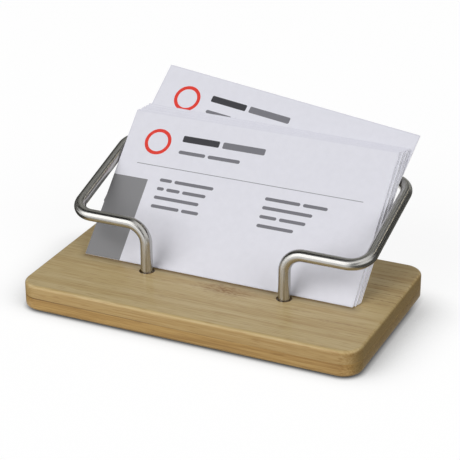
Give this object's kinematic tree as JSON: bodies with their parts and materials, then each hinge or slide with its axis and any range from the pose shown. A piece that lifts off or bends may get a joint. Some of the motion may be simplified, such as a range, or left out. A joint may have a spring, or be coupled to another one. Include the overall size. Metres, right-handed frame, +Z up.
{
  "type": "business card holder stand",
  "caption": "Desk stand for business cards: a bamboo board with a bent steel rod cradle that holds a leaning stack of plain cards, each free to lift out.",
  "frame": {"origin": "middle of the base, on the surface that it stands on", "axes": "+X along the base to the right as seen from the front, -Y the front, +Z up"},
  "size_m": [0.1088, 0.0792, 0.0549],
  "materials": {
    "bamboo_upper": "sanded, matt clear coat",
    "bamboo_lower": "sanded, matt clear coat",
    "non_slip": "matt",
    "steel": "satin stainless",
    "adhesive": "cured glue",
    "card": "uncoated smooth white"
  },
  "bodies": {
    "stand": {"upper_ply": "bamboo_upper", "lower_ply": "bamboo_lower", "non_slip_sheet": "non_slip", "wire_cradle": "steel", "left_leg_adhesive": "adhesive", "right_leg_adhesive": "adhesive"},
    "card_01": {"card_01": "card"},
    "card_02": {"card_02": "card"},
    "card_03": {"card_03": "card"},
    "card_04": {"card_04": "card"},
    "card_05": {"card_05": "card"},
    "card_06": {"card_06": "card"},
    "card_07": {"card_07": "card"},
    "card_08": {"card_08": "card"},
    "card_09": {"card_09": "card"},
    "raised_card": {"raised_card": "card"}
  },
  "joints": [
    {"name": "card_01_lift", "type": "slide", "parent": "stand", "child": "card_01", "axis": [0, 0.7266, 0.6871], "range_m": [0, 0.055]},
    {"name": "card_02_lift", "type": "slide", "parent": "stand", "child": "card_02", "axis": [0.0013, 0.7266, 0.6871], "range_m": [0, 0.055]},
    {"name": "card_03_lift", "type": "slide", "parent": "stand", "child": "card_03", "axis": [0.0057, 0.7265, 0.6871], "range_m": [0, 0.055]},
    {"name": "card_04_lift", "type": "slide", "parent": "stand", "child": "card_04", "axis": [0.0047, 0.7266, 0.6871], "range_m": [0, 0.055]},
    {"name": "card_05_lift", "type": "slide", "parent": "stand", "child": "card_05", "axis": [0.0071, 0.7265, 0.6871], "range_m": [0, 0.055]},
    {"name": "card_06_lift", "type": "slide", "parent": "stand", "child": "card_06", "axis": [0.011, 0.7265, 0.6871], "range_m": [0, 0.055]},
    {"name": "card_07_lift", "type": "slide", "parent": "stand", "child": "card_07", "axis": [0.0104, 0.7265, 0.6871], "range_m": [0, 0.055]},
    {"name": "card_08_lift", "type": "slide", "parent": "stand", "child": "card_08", "axis": [0.0157, 0.7265, 0.687], "range_m": [0, 0.055]},
    {"name": "card_09_lift", "type": "slide", "parent": "stand", "child": "card_09", "axis": [0.0135, 0.7265, 0.687], "range_m": [0, 0.055]},
    {"name": "raised_card_lift", "type": "slide", "parent": "stand", "child": "raised_card", "axis": [0.1253, 0.7208, 0.6817], "range_m": [-0.005, 0.05]}
  ]
}
